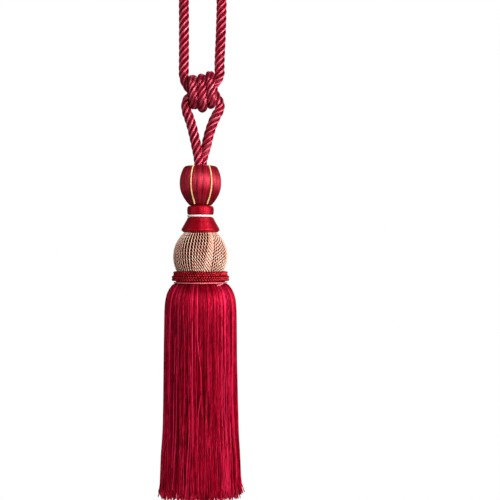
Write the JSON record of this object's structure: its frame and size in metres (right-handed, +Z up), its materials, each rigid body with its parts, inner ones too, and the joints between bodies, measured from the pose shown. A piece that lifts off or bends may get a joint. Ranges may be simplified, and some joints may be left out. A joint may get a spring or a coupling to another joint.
{
  "type": "curtain tieback tassel",
  "caption": "Hanging tassel on a knotted twisted-cord loop, with a thread-covered knob, collar, cone and netted ball above a long cut-yarn skirt",
  "frame": {"origin": "the hanging point, at the inside top of the cord loop", "axes": "+Z up along the hanging tassel, +X to the right of a viewer who faces the knot's three wraps, +Y away from that viewer"},
  "size_m": [0.0672, 0.0672, 0.4222],
  "materials": {
    "twisted_cord": "lustrous twisted crimson yarn",
    "satin_thread": "satin crimson thread laid side by side",
    "gold_thread": "thin twisted old-gold cord",
    "cream_thread": "matt cream cord",
    "dark_thread": "matt dark red thread",
    "cut_yarn": "fine lustrous crimson yarn"
  },
  "bodies": {
    "root": {"cord_loop": "twisted_cord", "knob": "satin_thread", "knob_cord_1": "gold_thread", "knob_cord_2": "gold_thread", "knob_cord_3": "gold_thread", "knob_cord_4": "gold_thread", "collar": "satin_thread", "neck_ring": "cream_thread", "cone": "satin_thread", "ball": "dark_thread", "ball_net": "gold_thread", "gimp": "twisted_cord", "gimp_line": "gold_thread", "skirt": "cut_yarn"}
  },
  "joints": []
}
